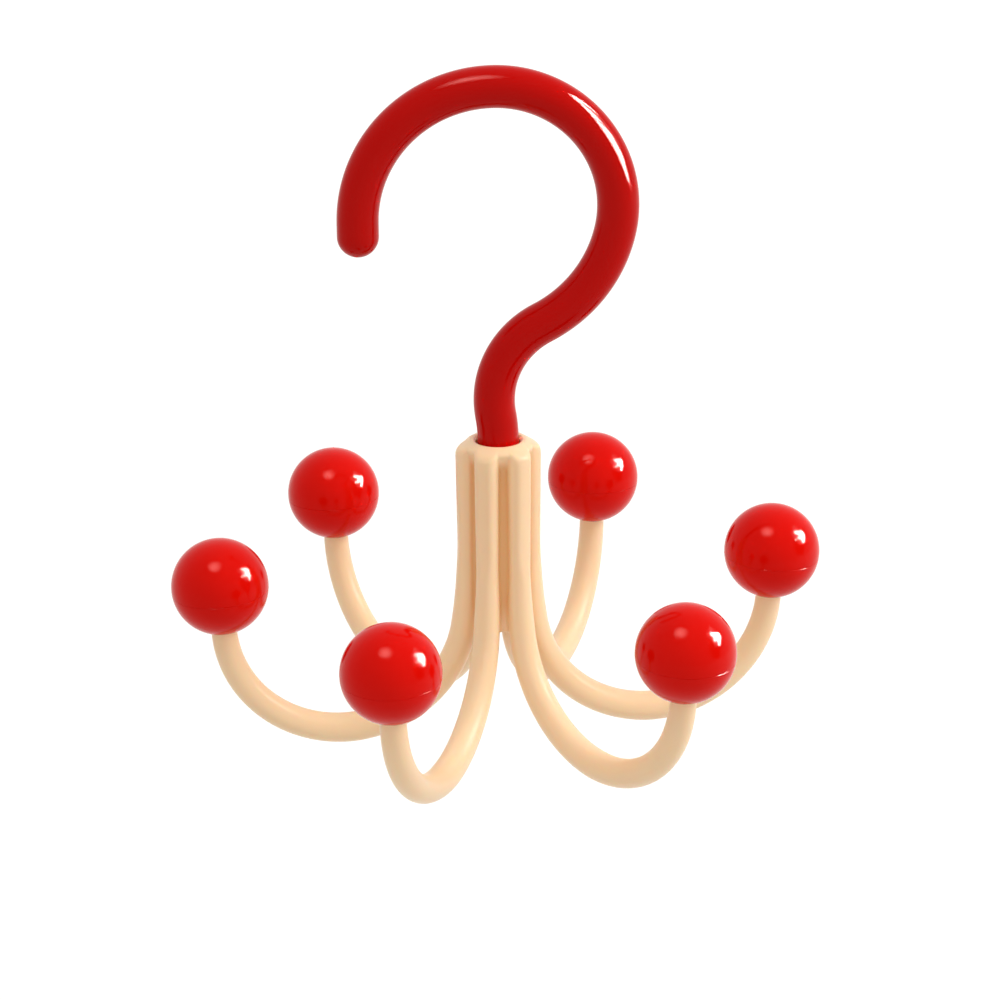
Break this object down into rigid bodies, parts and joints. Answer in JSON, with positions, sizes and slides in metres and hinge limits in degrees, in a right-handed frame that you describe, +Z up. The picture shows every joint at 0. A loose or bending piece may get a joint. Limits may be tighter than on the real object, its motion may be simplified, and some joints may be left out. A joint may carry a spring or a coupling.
{
  "type": "rotating closet hook",
  "caption": "Question-mark rail hook turning in a ribbed hub whose curved arms end in glossy balls, for hanging belts, scarves, ties and bags in a closet.",
  "frame": {"origin": "rail seat: the inside of the hook's crown, on the swivel axis", "axes": "+Z up along the swivel axis; the hook lies in the XZ plane with its mouth towards -X"},
  "size_m": [0.1688, 0.161, 0.1801],
  "materials": {
    "red_plastic": "polished moulded polystyrene",
    "cream_plastic": "satin moulded polypropylene",
    "zinc_steel": "zinc plated"
  },
  "bodies": {
    "hook_body": {"hook": "red_plastic", "retaining_screw": "zinc_steel", "retaining_washer": "zinc_steel"},
    "carousel": {"arm_hub": "cream_plastic", "ball_1_upper_shell": "red_plastic", "ball_1_lower_shell": "red_plastic", "ball_2_upper_shell": "red_plastic", "ball_2_lower_shell": "red_plastic", "ball_3_upper_shell": "red_plastic", "ball_3_lower_shell": "red_plastic", "ball_4_upper_shell": "red_plastic", "ball_4_lower_shell": "red_plastic", "ball_5_upper_shell": "red_plastic", "ball_5_lower_shell": "red_plastic", "ball_6_upper_shell": "red_plastic", "ball_6_lower_shell": "red_plastic"}
  },
  "joints": [
    {"name": "carousel_spin", "type": "hinge", "parent": "hook_body", "child": "carousel", "pos_m": [0, 0, -0.08735], "axis": [0, 0, 1], "continuous": true}
  ]
}
